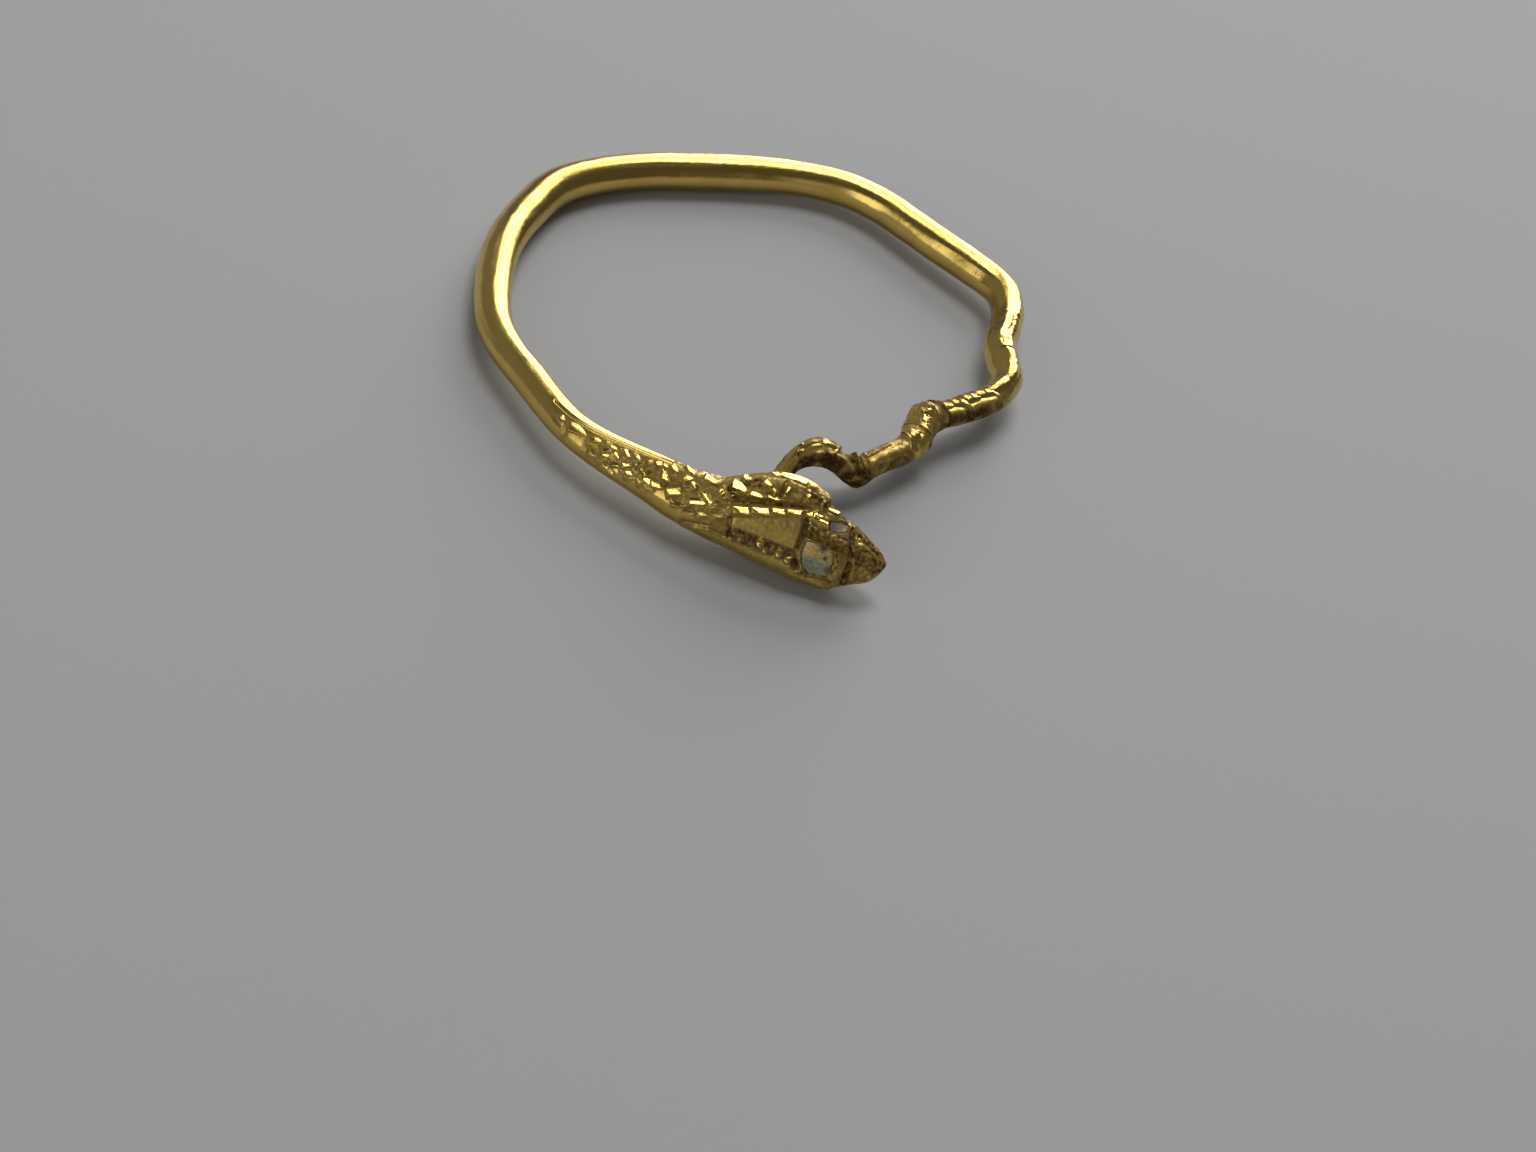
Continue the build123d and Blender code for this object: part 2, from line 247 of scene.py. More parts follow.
def raised(rings, height):
    """The rings with each point moved out of the surface by its height."""
    along = np.gradient(rings, axis=0)
    around = np.roll(rings, -1, axis=1) - np.roll(rings, 1, axis=1)
    out = np.cross(around, along)
    out /= np.linalg.norm(out, axis=2, keepdims=True) + 1e-12
    return rings + out * height[:, :, None]


def grain(rings, size, seed):
    """A seeded smooth noise over the surface, from -1 to 1, with lumps of about one size in millimetres."""
    shift = Vector((seed * 7.1, seed * 3.7, seed * 5.3))
    flat = [noise.noise(Vector(point) / size + shift) for point in rings.reshape(-1, 3)]
    return np.array(flat).reshape(rings.shape[:2])


def ringed_piece(name, rings, dirt_and_shade, tint_and_painted_light, solid):
    """A closed mesh through rings of points in millimetres, laid down where the ring rests.

    The amount laid on each point holds soiling and painted shade, with its colour beside it; on the inlays
    that colour is the paste's tint, with a painted highlight. The solid is the one it stands for.
    """
    stations, points = rings.shape[:2]
    laid = (rings.reshape(-1, 3) @ lying_axes.T - lying_middle) * millimetre
    first = np.arange((stations - 1) * points).reshape(stations - 1, points)
    beside = np.roll(first, -1, axis=1)
    quads = np.stack([first, first + points, beside + points, beside], axis=2).reshape(-1, 4)
    faces = quads.tolist()
    faces.append(list(range(points)))
    faces.append(list(range(stations * points - 1, (stations - 1) * points - 1, -1)))
    mesh = bpy.data.meshes.new(name)
    mesh.from_pydata(laid.tolist(), [], faces)
    mesh.polygons.foreach_set("use_smooth", [True] * len(quads) + [False, False])
    rims = set(range(points)) | set(range((stations - 1) * points, stations * points))
    mesh.edges.foreach_set("use_edge_sharp", [set(edge.vertices) <= rims for edge in mesh.edges])
    mesh.attributes.new("dirt_and_shade", "FLOAT", "POINT").data.foreach_set("value", dirt_and_shade.ravel().astype(np.float32))
    tint = np.ones((stations * points, 4), np.float32)
    tint[:, :3] = np.broadcast_to(tint_and_painted_light, (stations, points, 3)).reshape(-1, 3)
    mesh.attributes.new("tint_and_painted_light", "FLOAT_COLOR", "POINT").data.foreach_set("color", tint.ravel())
    piece = bpy.data.objects.new(name, mesh)
    bpy.context.collection.objects.link(piece)
    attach(piece, "root")
    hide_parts(solid)
    return piece


def feed(shader, feeds):
    """Gives sockets of a shader node their values, or links them to what another node puts out."""
    for socket, source in feeds.items():
        if isinstance(source, bpy.types.NodeSocket):
            shader.id_data.links.new(source, shader.inputs[socket])
        else:
            shader.inputs[socket].default_value = source


def node(material, kind, feeds, **settings):
    """What a new shader node puts out, given its settings and what its sockets are fed."""
    made = material.node_tree.nodes.new("ShaderNode" + kind)
    for setting, value in settings.items():
        setattr(made, setting, value)
    feed(made, feeds)
    return made.outputs


def mottle(material, lumps, detail):
    """A noise that is fixed to the piece, with about so many lumps to a millimetre."""
    place = node(material, "TexCoord", {})["Object"]
    return node(material, "TexNoise", {"Vector": place, "Scale": lumps / millimetre, "Detail": detail})["Fac"]


def gold_material(name, polish, wear, grain_size, grain_depth):
    """Worn high-carat gold: warmer and duller where it is less rubbed, grainy, with grime in its recesses and
    painted shade laid on the same way.
    """
    material = bpy.data.materials.new(name)
    material.use_nodes = True
    patches = mottle(material, lumps=0.9, detail=4.0)
    warm = node(material, "MapRange", {"Value": patches, "From Min": 0.45, "From Max": 0.75})["Result"]
    tones = {"A": gold_colour, "B": deep_gold_colour, "Factor": warm}
    tone = node(material, "Mix", tones, data_type="RGBA")["Result"]
    # The laid-on amount and its colour hold real dirt and painted shade alike.
    dirt_and_shade = node(material, "Attribute", {}, attribute_name="dirt_and_shade")["Fac"]
    tint_and_painted_light = node(material, "Attribute", {}, attribute_name="tint_and_painted_light")["Color"]
    crumbs = mottle(material, lumps=9.0, detail=5.0)
    uneven = node(material, "Math", {0: crumbs, 1: 0.5}, operation="SUBTRACT")["Value"]
    dirt_and_shade_feeds = {0: dirt_and_shade, 1: uneven, 2: dirt_and_shade}
    laid_on = node(material, "Math", dirt_and_shade_feeds, operation="MULTIPLY_ADD", use_clamp=True)["Value"]
    soiled_and_shaded = node(material, "Mix", {"A": tone, "B": tint_and_painted_light, "Factor": laid_on}, data_type="RGBA")["Result"]
    bare = node(material, "Math", {0: 1.0, 1: laid_on}, operation="SUBTRACT")["Value"]
    rubbing = {"Value": patches, "From Min": 0.35, "From Max": 0.7, "To Min": polish, "To Max": wear}
    rubbed = node(material, "MapRange", rubbing)["Result"]
    dulling = {0: laid_on, 1: 0.5, 2: rubbed}
    dulled = node(material, "Math", dulling, operation="MULTIPLY_ADD", use_clamp=True)["Value"]
    pores = mottle(material, lumps=1 / grain_size, detail=6.0)
    pitting = {"Height": pores, "Strength": 1.0, "Distance": grain_depth * millimetre}
    bump = node(material, "Bump", pitting)["Normal"]
    feed(material.node_tree.nodes["Principled BSDF"], {
        "Base Color": soiled_and_shaded,
        "Metallic": bare,
        "Roughness": dulled,
        "Specular IOR Level": 0.1,
        "Normal": bump,
    })
    return material


azimuths = np.linspace(hoop_start, chasing_start, hoop_stations)
angles = np.linspace(0, 2 * math.pi, hoop_points, endpoint=False)
middles, halves, slants = wire_middles(azimuths)
flats = np.zeros((hoop_stations, hoop_points))
ends = np.clip(np.minimum(azimuths - hoop_start, chasing_start - azimuths) / hammer_fade, 0, 1)
draw = random.Random(4)
for i in range(hammer_flats):
    place = draw.uniform(hoop_start, chasing_start)
    side = draw.uniform(0, 2 * math.pi)
    reach = draw.uniform(*hammer_reach)
    depth = draw.uniform(*hammer_depth)
    lengthwise = np.clip(1 - ((azimuths - place) / reach) ** 2, 0, 1) * ends
    flats = np.maximum(flats, flat_cut(halves, angles - side, depth * lengthwise / halves))
reaches = halves[:, None] - flats
hoop_rings = rings_about(middles, azimuths + 90, slants, reaches * np.cos(angles), reaches * np.sin(angles))
fine_grain = 0.004 * grain(hoop_rings, size=0.12, seed=31)
coarse_grain = 0.010 * grain(hoop_rings, size=0.7, seed=32)
hoop_rings = raised(hoop_rings, (fine_grain + coarse_grain) * ends[:, None])
clean = np.zeros((hoop_stations, hoop_points))
hoop = ringed_piece("plain_hoop", hoop_rings, clean, deep_gold_colour[:3], "snake_body")
hoop.data.materials.append(
    gold_material("worn_gold", polish=0.16, wear=0.26, grain_size=0.05, grain_depth=0.006)
)

# The neck and head are the same wire, hammered out wide and chased from the top. The neck has rows of
# punched scales. The head has a smooth raised panel, a beaded groove, a notched ruff, a brow and a snout.
head_length = 5.45
half_head = 1.55
head_crown = 0.85
head_belly = 0.75
relief_depth = 0.12
head_roll = 38.0
neck_roll = 44.0
head_turn = 3.4
neck_start = 236.0
neck_growth = 1.5
head_root = 269.0
neck_flattening = 2.0
crown_fullness = 2.4
ruff_fullness = 5.0
belly_fullness = 0.8
neck_stations = 300
head_stations = 300
snout_stations = 30
top_points = 200
belly_points = 76
snout_round = 0.965
snout_tip = 0.02
# The half circle that each outline is bent from, across and above its middle.
outline_steps = 400
sweep = np.linspace(0, math.pi, outline_steps)
swing, lift = np.cos(sweep), np.sin(sweep).clip(0)
head_lines = [
    # along, edge, side, crest, foot, groove, ridge, panel, brink, bead, cheek, jaw, flank, edge
    (0.00, 0.59, 0.53, 0.45, 0.36, 0.26, 0.14, -0.03, -0.22, -0.35, -0.46, -0.55, -0.63, -0.68),
    (0.10, 0.76, 0.67, 0.55, 0.38, 0.20, 0.05, -0.12, -0.27, -0.39, -0.50, -0.59, -0.67, -0.71),
    (0.20, 0.92, 0.82, 0.66, 0.44, 0.26, 0.13, -0.07, -0.27, -0.40, -0.52, -0.63, -0.72, -0.76),
    (0.30, 1.04, 0.93, 0.77, 0.54, 0.37, 0.25, -0.02, -0.27, -0.41, -0.55, -0.68, -0.77, -0.81),
    (0.40, 1.07, 0.97, 0.82, 0.61, 0.45, 0.33, 0.03, -0.27, -0.42, -0.56, -0.70, -0.80, -0.85),
    (0.49, 1.03, 0.94, 0.82, 0.66, 0.52, 0.41, 0.07, -0.27, -0.42, -0.55, -0.71, -0.83, -0.88),
    (0.52, 0.99, 0.90, 0.79, 0.65, 0.50, 0.30, 0.13, -0.03, -0.30, -0.56, -0.72, -0.84, -0.89),
    (0.59, 0.88, 0.81, 0.72, 0.61, 0.47, 0.24, 0.11, -0.03, -0.32, -0.58, -0.73, -0.84, -0.89),
    (0.62, 0.72, 0.66, 0.58, 0.49, 0.38, 0.23, 0.10, -0.03, -0.32, -0.58, -0.73, -0.84, -0.88),
    (0.70, 0.58, 0.53, 0.46, 0.38, 0.28, 0.18, 0.07, -0.04, -0.32, -0.56, -0.71, -0.82, -0.87),
    (0.78, 0.49, 0.45, 0.38, 0.30, 0.20, 0.11, 0.01, -0.09, -0.30, -0.47, -0.61, -0.70, -0.75),
    (0.84, 0.38, 0.34, 0.28, 0.21, 0.13, 0.04, -0.06, -0.15, -0.30, -0.43, -0.53, -0.60, -0.64),
    (0.92, 0.23, 0.20, 0.15, 0.09, 0.03, -0.04, -0.10, -0.17, -0.26, -0.35, -0.42, -0.47, -0.50),
    (0.97, 0.11, 0.08, 0.05, 0.02, -0.02, -0.06, -0.10, -0.14, -0.19, -0.24, -0.28, -0.31, -0.33),
    (1.00, 0.01, 0.00, -0.01, -0.03, -0.04, -0.06, -0.07, -0.09, -0.11, -0.12, -0.13, -0.14, -0.15),
]
head_relief = [
    # along, edge, side, crest, foot, groove, ridge, panel, brink, bead, cheek, jaw, flank, edge
    (0.00, 0.0, 0.0, 0.2, 0.0, 0.0, 0.0, 0.0, 0.0, 0.0, 0.0, 0.0, 0.0, 0.0),
    (0.10, 0.0, 0.2, 0.5, 0.2, -0.6, -0.2, -0.2, -0.4, -0.9, 0.0, 0.2, 0.0, 0.0),
    (0.13, 0.0, 0.2, 0.6, 0.3, -0.8, 0.7, 0.6, 0.3, -1.2, 0.1, 0.3, 0.0, 0.0),
    (0.30, 0.0, 0.3, 0.8, 0.4, -0.7, 0.9, 0.8, 0.5, -1.3, 0.2, 0.4, 0.1, 0.0),
    (0.49, 0.0, 0.3, 0.8, 0.3, -0.8, 1.0, 0.9, 0.6, -1.2, 0.0, 0.3, 0.0, 0.0),
    (0.52, 0.0, 0.3, 0.8, 0.2, -0.5, -0.4, -0.7, -0.7, 0.0, 0.0, 0.2, 0.0, 0.0),
    (0.59, 0.0, 0.2, 0.6, 0.2, -0.2, 0.4, 0.4, -0.5, 0.2, 0.2, 0.2, 0.0, 0.0),
    (0.62, 0.0, 0.0, 0.5, 0.4, 0.2, 0.4, 0.5, -0.5, 0.2, 0.2, 0.2, 0.0, 0.0),
    (0.75, 0.0, 0.0, 0.3, 0.4, 0.2, 0.5, 0.5, -0.4, 0.4, 0.4, 0.3, 0.0, 0.0),
    (0.80, 0.0, -0.2, -0.5, -0.5, -0.5, -0.4, -0.4, -0.5, -0.6, -0.8, -0.8, -0.5, 0.0),
    (0.84, 0.0, 0.0, 0.3, 0.3, 0.3, 0.3, 0.4, 0.3, 0.3, 0.3, 0.2, 0.0, 0.0),
    (1.00, 0.0, 0.0, 0.0, 0.0, 0.0, 0.0, 0.0, 0.0, 0.0, 0.0, 0.0, 0.0, 0.0),
]
head_depths = [
    # along, crown, belly
    (0.00, 0.86, 0.92),
    (0.20, 0.97, 1.00),
    (0.40, 1.00, 1.00),
    (0.60, 0.95, 0.95),
    (0.78, 0.80, 0.78),
    (0.88, 0.62, 0.58),
    (0.96, 0.38, 0.34),
    (1.00, 0.16, 0.12),
]


def between(rows, at):
    """A table's columns at one place, on straight lines between its rows."""
    places = [row[0] for row in rows]
    i = sum(place <= at for place in places[1:-1])
    share = min(max((at - places[i]) / (places[i + 1] - places[i]), 0.0), 1.0)
    first, last = np.array(rows[i][1:]), np.array(rows[i + 1][1:])
    return first + share * (last - first)


def evenly(across, above, count):
    """A bent line divided into equal steps."""
    run = np.concatenate(([0.0], np.cumsum(np.hypot(np.diff(across), np.diff(above)))))
    steps = np.linspace(0, run[-1], count + 1)[:-1]
    return np.interp(steps, run, across), np.interp(steps, run, above)


def head_outline(along):
    """The smooth head's outline at one place, across and above its middle: the top, then the belly."""
    lines = through(head_lines, along) * half_head
    crown, belly = through(head_depths, along) * (head_crown, head_belly)
    middle, half = (lines[0] + lines[-1]) / 2, (lines[0] - lines[-1]) / 2
    closing = math.sqrt(max(1 - (max(along - snout_round, 0) / (1 - snout_round)) ** 2, snout_tip**2))
    fullness = np.where(swing > 0, ruff_fullness, crown_fullness)
    top = evenly(
        middle + closing * half * np.sign(swing) * np.abs(swing) ** (2 / fullness),
        closing * crown * lift ** (2 / fullness),
        top_points,
    )
    under = evenly(middle - closing * half * swing, -closing * belly * lift**belly_fullness, belly_points)
    return np.concatenate([top[0], under[0]]), np.concatenate([top[1], under[1]])


def neck_outline(half, share):
    """The neck's outline: the round wire, its face hammered flatter as it swells to the back of the head."""
    fullness = np.where(swing > 0, 2 + neck_flattening * min(max(share, 0), 1), 2)
    top = evenly(
        half * np.sign(swing) * np.abs(swing) ** (2 / fullness),
        half * lift ** (2 / fullness),
        top_points,
    )
    under = np.linspace(math.pi, 2 * math.pi, belly_points, endpoint=False)
    round_across = np.concatenate([top[0], half * np.cos(under)])
    round_above = np.concatenate([top[1], half * np.sin(under)])
    swell = max(share, 0) ** neck_growth
    across, above = head_outline(0.0)
    return round_across * (1 - swell) + across * swell, round_above * (1 - swell) + above * swell


azimuths = np.linspace(chasing_start, head_root, neck_stations, endpoint=False)
shares = (azimuths - neck_start) / (head_root - neck_start)
middles, halves, slants = wire_middles(azimuths)
settled = shares.clip(0)
headings = azimuths + 90 - head_turn * settled
slants = slants - np.radians(head_turn) * settled
rolls = neck_roll + (head_roll - neck_roll) * settled
outlines = [neck_outline(half, share) for half, share in zip(halves, shares)]
root = wire_middles([head_root])[0][0]
heading = head_root + 90 - head_turn
ahead = np.array((math.cos(math.radians(heading)), math.sin(math.radians(heading)), 0.0))
alongs = np.concatenate([
    np.linspace(0, snout_round, head_stations, endpoint=False),
    snout_round + (1 - snout_round) * np.sin(np.linspace(0, math.pi / 2, snout_stations)),
])
head_middles = root + alongs[:, None] * head_length * ahead
outlines += [head_outline(along) for along in alongs]
middles = np.concatenate([middles, head_middles])
headings = np.concatenate([headings, np.full(len(alongs), heading)])
slants = np.concatenate([slants, np.zeros(len(alongs))])
rolls = np.radians(np.concatenate([rolls, np.full(len(alongs), head_roll)]))[:, None]
across = np.array([outline[0] for outline in outlines])
above = np.array([outline[1] for outline in outlines])
outward = above * np.cos(rolls) - across * np.sin(rolls)
upward = across * np.cos(rolls) + above * np.sin(rolls)
smooth_rings = rings_about(middles, headings, slants, outward, upward)
steps = np.linalg.norm(np.diff(middles, axis=0), axis=1)
run = np.concatenate(([0.0], np.cumsum(steps)))
run = (run - run[neck_stations])[:, None]
upper = np.zeros(top_points + belly_points)
upper[:top_points] = 1.0

# The upper edges of the neck and of the ruff are hammered into long narrow flats.
edge_flats = [
    # start, full from, full to, end, lean from the face in degrees, depth
    (-6.4, -5.8, -2.0, -1.4, 52.0, 0.025),
    (1.1, 1.5, 2.8, 3.2, 58.0, 0.08),
]
relief = np.zeros_like(across)
for start, full, fading, end, lean, depth in edge_flats:
    over = across * math.sin(math.radians(lean)) + above * math.cos(math.radians(lean))
    over -= over.max(axis=1, keepdims=True) - depth * np.interp(run, (start, full, fading, end), (0, 1, 1, 0))
    relief -= np.clip(over, 0, None)
for i, along in enumerate(alongs):
    lines = through(head_lines, along) * half_head
    heights = between(head_relief, along) * relief_depth
    relief[neck_stations + i] += np.interp(across[neck_stations + i], lines[::-1], heights[::-1]) * upper

# Scales raised with a small chisel, each a bright flat facet with steep walls on its other sides. Places
# are millimetres from the back of the head and from its middle line, and the turn is in degrees.
facings = {
    # which way a facet looks: a compass angle and a height above the floor
    "right": (287.0, 70.5),
    "left": (246.0, 69.0),
    "back": (310.0, 77.0),
}
scales = [
    # along, across, turn, length, width, facing
    (-5.38, 0.06, 70, 0.24, 0.16, "left"),
    (-4.72, 0.10, 18, 0.56, 0.20, "left"),
    (-4.02, 0.16, 25, 0.40, 0.12, "left"),
    (-3.60, 0.06, 30, 0.26, 0.11, "left"),
    (-3.58, -0.10, 35, 0.24, 0.10, "left"),
    (-3.45, 0.22, 20, 0.28, 0.12, "left"),
    (-3.25, 0.06, -20, 0.24, 0.10, "right"),
    (-3.20, -0.20, 25, 0.30, 0.10, "left"),
    (-3.02, 0.27, -45, 0.28, 0.12, "right"),
    (-2.88, -0.05, 40, 0.22, 0.12, "left"),
    (-2.65, -0.22, 35, 0.22, 0.12, "left"),
    (-2.66, 0.32, -10, 0.16, 0.09, "right"),
    (-2.55, 0.17, 50, 0.28, 0.11, "left"),
    (-2.34, 0.08, 55, 0.22, 0.11, "left"),
    (-2.16, 0.06, 50, 0.34, 0.13, "left"),
    (-2.06, -0.15, -15, 0.26, 0.18, "right"),
    (-1.98, 0.48, 45, 0.24, 0.11, "back"),
    (-1.80, -0.15, 20, 0.28, 0.15, "left"),
    (-1.80, 0.51, 25, 0.14, 0.09, "back"),
    (-1.74, 0.32, -35, 0.22, 0.09, "right"),
    (-1.55, 0.20, 12, 0.34, 0.16, "right"),
    (-1.46, 0.55, -30, 0.34, 0.14, "right"),
    (-1.15, -0.02, 36, 0.56, 0.17, "left"),
    (-1.00, 0.47, 60, 0.34, 0.14, "left"),
    (-1.00, 0.74, -28, 0.42, 0.13, "back"),
    (-0.98, -0.35, 20, 0.34, 0.09, "left"),
    (-0.72, 0.37, -40, 0.22, 0.14, "right"),
    (-0.63, 0.86, -20, 0.26, 0.09, "back"),
    (-0.50, -0.05, 24, 0.46, 0.20, "left"),
    (-0.28, 0.69, -14, 0.50, 0.20, "right"),
    (-0.25, 0.17, -42, 0.40, 0.14, "right"),
    (-0.02, 0.10, 36, 0.34, 0.12, "left"),
    (0.10, 0.50, 72, 0.24, 0.13, "left"),
    (0.42, 0.54, 70, 0.22, 0.14, "left"),
    (0.56, 0.80, 2, 0.40, 0.24, "right"),
    (0.72, 1.08, -12, 0.30, 0.10, "right"),
    (1.12, 0.73, 6, 0.34, 0.13, "right"),
    (1.44, 1.11, -22, 0.44, 0.15, "right"),
    (1.64, 0.80, -8, 0.34, 0.14, "right"),
    (1.60, 1.00, -40, 0.20, 0.09, "right"),
    (1.97, 1.18, 82, 0.28, 0.09, "left"),
    (2.62, 1.20, 76, 0.12, 0.09, "left"),
    (0.96, 0.19, 15, 0.76, 0.14, "right"),
    (1.52, 0.35, 16, 0.72, 0.13, "right"),
    (2.02, 0.49, 15, 0.60, 0.13, "right"),
    (2.46, 0.61, 15, 0.60, 0.11, "right"),
    (2.86, 0.66, 4, 0.44, 0.10, "right"),
    (3.24, 0.60, -6, 0.60, 0.14, "right"),
    (2.96, 0.42, -14, 0.42, 0.12, "right"),
    (3.40, 0.94, -24, 0.42, 0.13, "right"),
    (4.42, 0.42, -20, 0.12, 0.09, "right"),
]
facet_wall = 1.6
facet_lift = 0.5
steepest_facet = 0.85
tallest_scale = 0.20
bed_reach = 0.06
face_sink = 0.07
lower_fade = 0.35
upper_fade = 0.06
fully_sunk = 0.5
# Smaller scales stand between them by chance. Where two sizes are given, the first holds at the thin end
# of the neck and the second at the head.
small_scales = 60
small_scale_run = (-4.0, 0.3)
small_scale_lowest = -0.3
small_scale_highest = (0.271, 0.658)
small_scale_growth = (1.0, 1.43)
small_scale_size = (0.10, 0.16)
small_scale_turn = 35
small_scale_lift = 0.5
# Cuts made with a graver, from end to end. The lengthwise places are shares of the head.
graved_lines = [
    # name, half width, depth, and the places along and across that it passes
    ("back of the panel", 0.09, 0.10, (0.085, 0.22), (0.100, 0.00), (0.106, -0.25), (0.112, -0.44)),
    ("front of the panel", 0.12, 0.15, (0.500, 0.50), (0.512, 0.30), (0.516, 0.00), (0.508, -0.40)),
    ("cheek behind the nose", 0.16, 0.06, (0.560, 0.28), (0.590, 0.24)),
    ("hollow of the snout", 0.26, 0.10, (0.850, 0.04), (0.872, -0.25), (0.865, -0.50)),
    ("dent over the snout", 0.16, 0.08, (0.900, 0.32), (0.940, 0.12)),
    ("dent in the chin", 0.20, 0.05, (0.840, -0.85), (0.890, -0.72)),
    ("first tongue", 0.14, 0.02, (-0.945, 0.04), (-0.930, -0.24)),
    ("second tongue", 0.16, 0.02, (-0.785, 0.08), (-0.768, -0.26)),
    ("third tongue", 0.12, 0.02, (-0.700, 0.10), (-0.685, -0.22)),
    ("upper fold behind the jaw", 0.09, 0.06, (-0.130, -0.42), (-0.040, -0.30), (0.060, -0.16)),
    ("lower fold behind the jaw", 0.10, 0.08, (-0.130, -0.82), (0.010, -0.66), (0.100, -0.72)),
    ("under the nose", 0.08, 0.11, (0.535, 0.03), (0.600, 0.00), (0.680, -0.02), (0.770, -0.07)),
    ("above the nose", 0.06, 0.06, (0.600, 0.42), (0.660, 0.34), (0.760, 0.24)),
    ("mouth", 0.06, 0.14, (0.600, -1.13), (0.660, -1.09), (0.710, -1.05), (0.750, -1.11)),
    ("hole behind the eye", 0.14, 0.28, (0.518, -0.84), (0.530, -0.96)),
    ("muzzle", 0.08, 0.11, (0.765, 0.60), (0.775, 0.25), (0.792, 0.00), (0.806, -0.30), (0.808, -0.60),
     (0.800, -1.15)),
    ("nostril", 0.07, 0.14, (0.812, -0.42), (0.828, -0.60)),
    ("ruff foot", 0.10, 0.08, (0.110, 0.44), (0.300, 0.63), (0.420, 0.74), (0.540, 0.84)),
    ("first ruff notch", 0.08, 0.09, (0.160, 1.02), (0.182, 1.18)),
    ("second ruff notch", 0.08, 0.14, (0.332, 0.88), (0.340, 1.40)),
    ("third ruff notch", 0.06, 0.11, (0.454, 0.90), (0.458, 1.56)),
    ("hollow of the ruff", 0.32, 0.12, (0.42, 1.30), (0.50, 1.26), (0.58, 1.02)),
    ("hollow over the snout", 0.16, 0.06, (0.82, 0.46), (0.88, 0.30), (0.95, 0.06)),
    ("border of the neck", 0.06, 0.10, (-1.10, 0.26), (-0.83, 0.36), (-0.53, 0.51), (-0.42, 0.57),
     (-0.31, 0.64)),
    ("crease in the neck", 0.07, 0.06, (-0.61, -0.18), (-0.64, -0.34), (-0.58, -0.46)),
]
raised_lines = [
    # name, half width, height, and the places along and across that it passes
    ("nose", 0.16, 0.05, (0.580, 0.18), (0.680, 0.17), (0.765, 0.10)),
    ("brow", 0.10, 0.06, (0.585, 1.02), (0.660, 0.87)),
    ("jaw", 0.08, 0.05, (0.500, -1.21), (0.620, -1.25), (0.750, -1.27)),
    ("snout ridge", 0.10, 0.05, (0.820, 0.24), (0.900, 0.13), (0.985, -0.05)),
    ("snout rim", 0.09, 0.03, (0.975, -0.18), (0.940, -0.38), (0.880, -0.60), (0.830, -0.80)),
]
# The chased face lies between these edges, and it keeps the brown soil that the bare gold has lost.
chased_face = [
    # along, lower edge, upper edge, how brown
    (-6.00, 0.00, 0.20, 0.0),
    (-5.50, -0.30, 0.27, 0.2),
    (-4.40, -0.40, 0.34, 0.3),
    (-3.30, -0.42, 0.43, 0.5),
    (-2.40, -0.42, 0.54, 0.6),
    (-1.70, -0.42, 0.63, 0.6),
    (-1.40, -0.42, 1.10, 0.6),
    (-0.20, -0.40, 1.20, 0.6),
    (0.10, 0.20, 1.20, 0.6),
    (0.50, 0.48, 1.35, 0.6),
    (1.60, 0.66, 1.55, 0.6),
    (2.70, 0.86, 1.55, 0.6),
    (3.10, 0.95, 1.50, 0.5),
    (3.30, 1.00, 1.30, 0.0),
]
